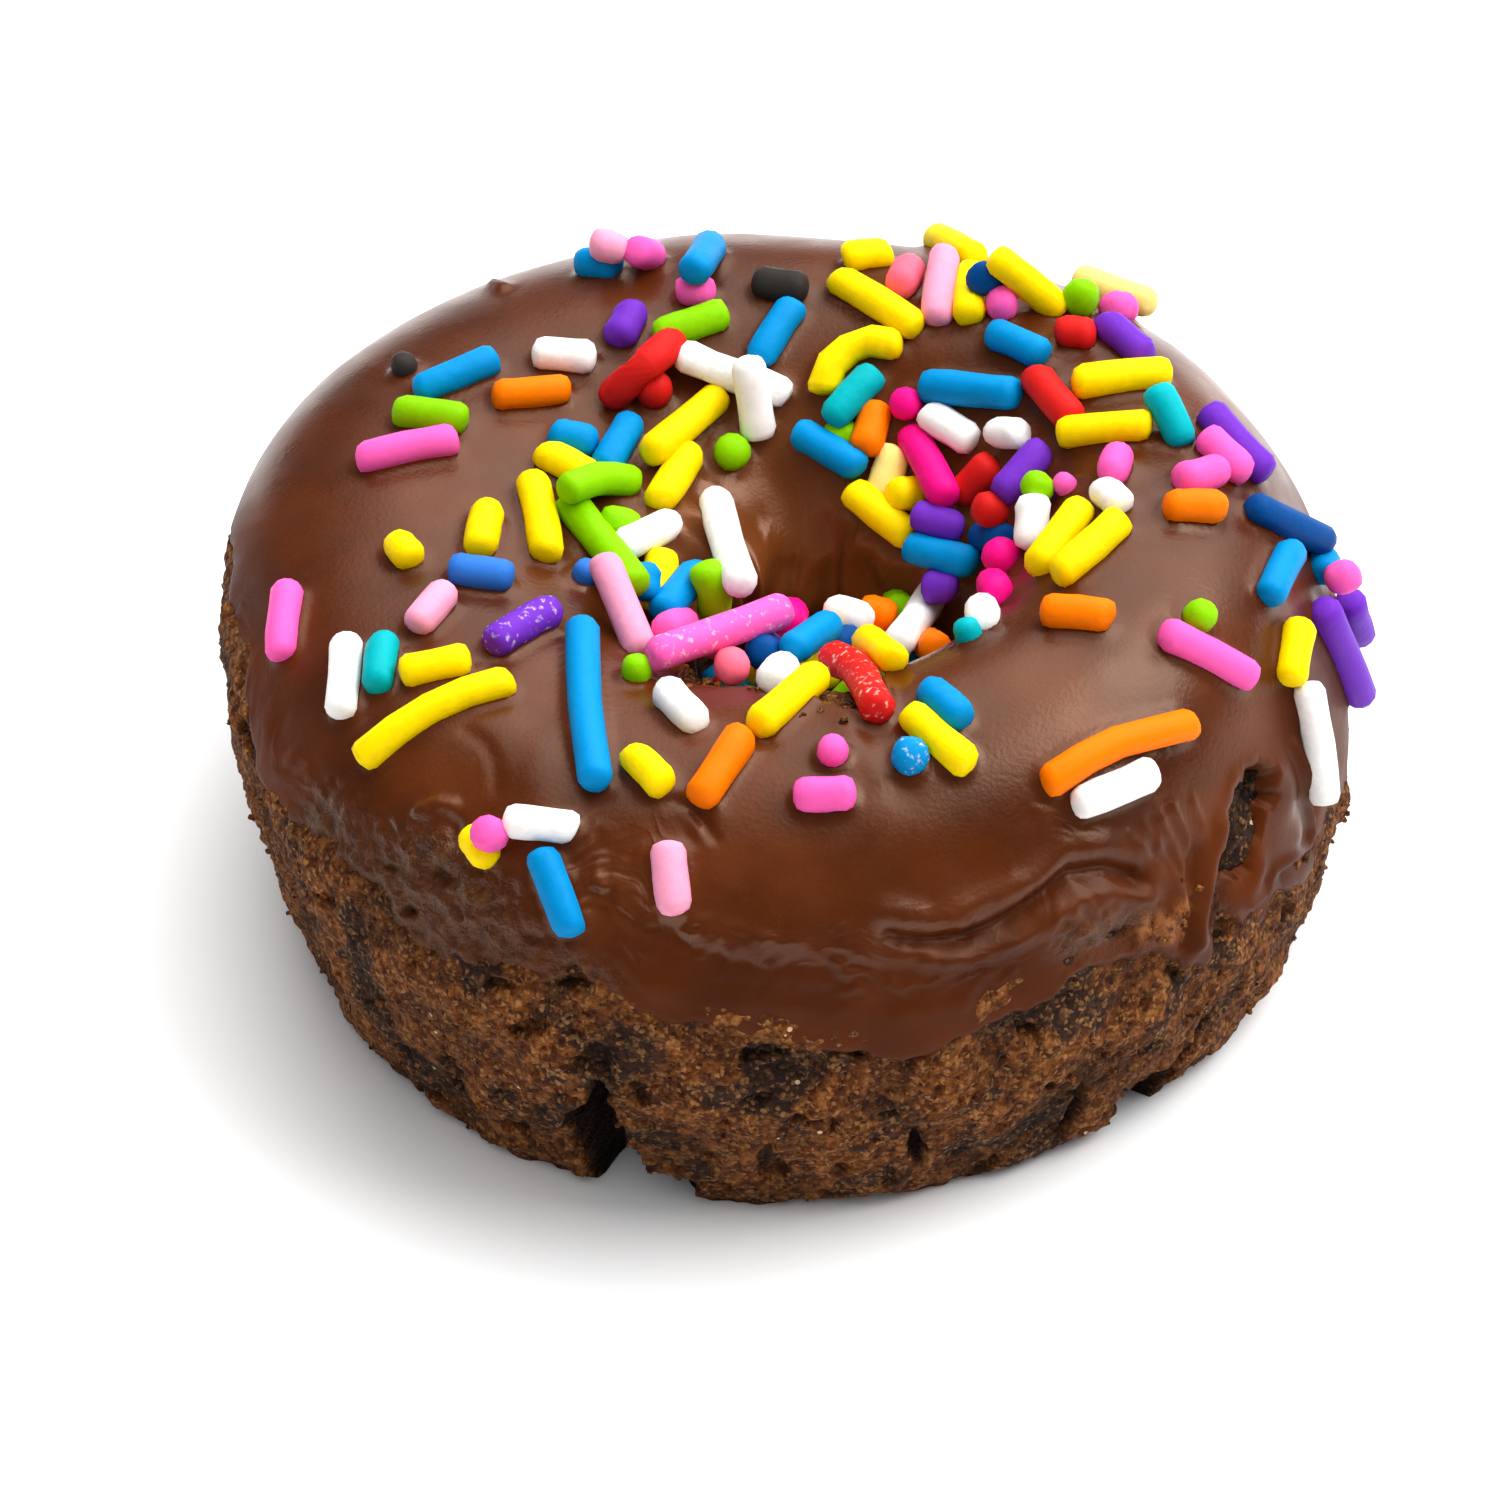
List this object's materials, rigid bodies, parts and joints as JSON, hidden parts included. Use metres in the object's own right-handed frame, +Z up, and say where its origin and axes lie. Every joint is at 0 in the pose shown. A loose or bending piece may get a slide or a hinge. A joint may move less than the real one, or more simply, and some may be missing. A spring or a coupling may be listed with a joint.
{
  "type": "sprinkle frosted doughnut",
  "caption": "Ring-shaped chocolate cake doughnut with chocolate frosting over its top and coloured rod sprinkles set in it; flat base.",
  "frame": {"origin": "middle of the doughnut's outline on the surface that it rests on", "axes": "+Z up through the hole; -Y is the front, where the cake's side is cracked; +X is the taller side"},
  "size_m": [0.0662, 0.0657, 0.0321],
  "materials": {
    "chocolate_cake": "dry open crumb, baked chocolate cake",
    "chocolate_frosting": "satin set chocolate frosting with a soft sheen",
    "sugar_sprinkles": "hard pressed sugar rods in mixed bright colours, satin"
  },
  "bodies": {
    "root": {"cake": "chocolate_cake", "frosting": "chocolate_frosting", "sprinkle_heap": "sugar_sprinkles"}
  },
  "joints": []
}
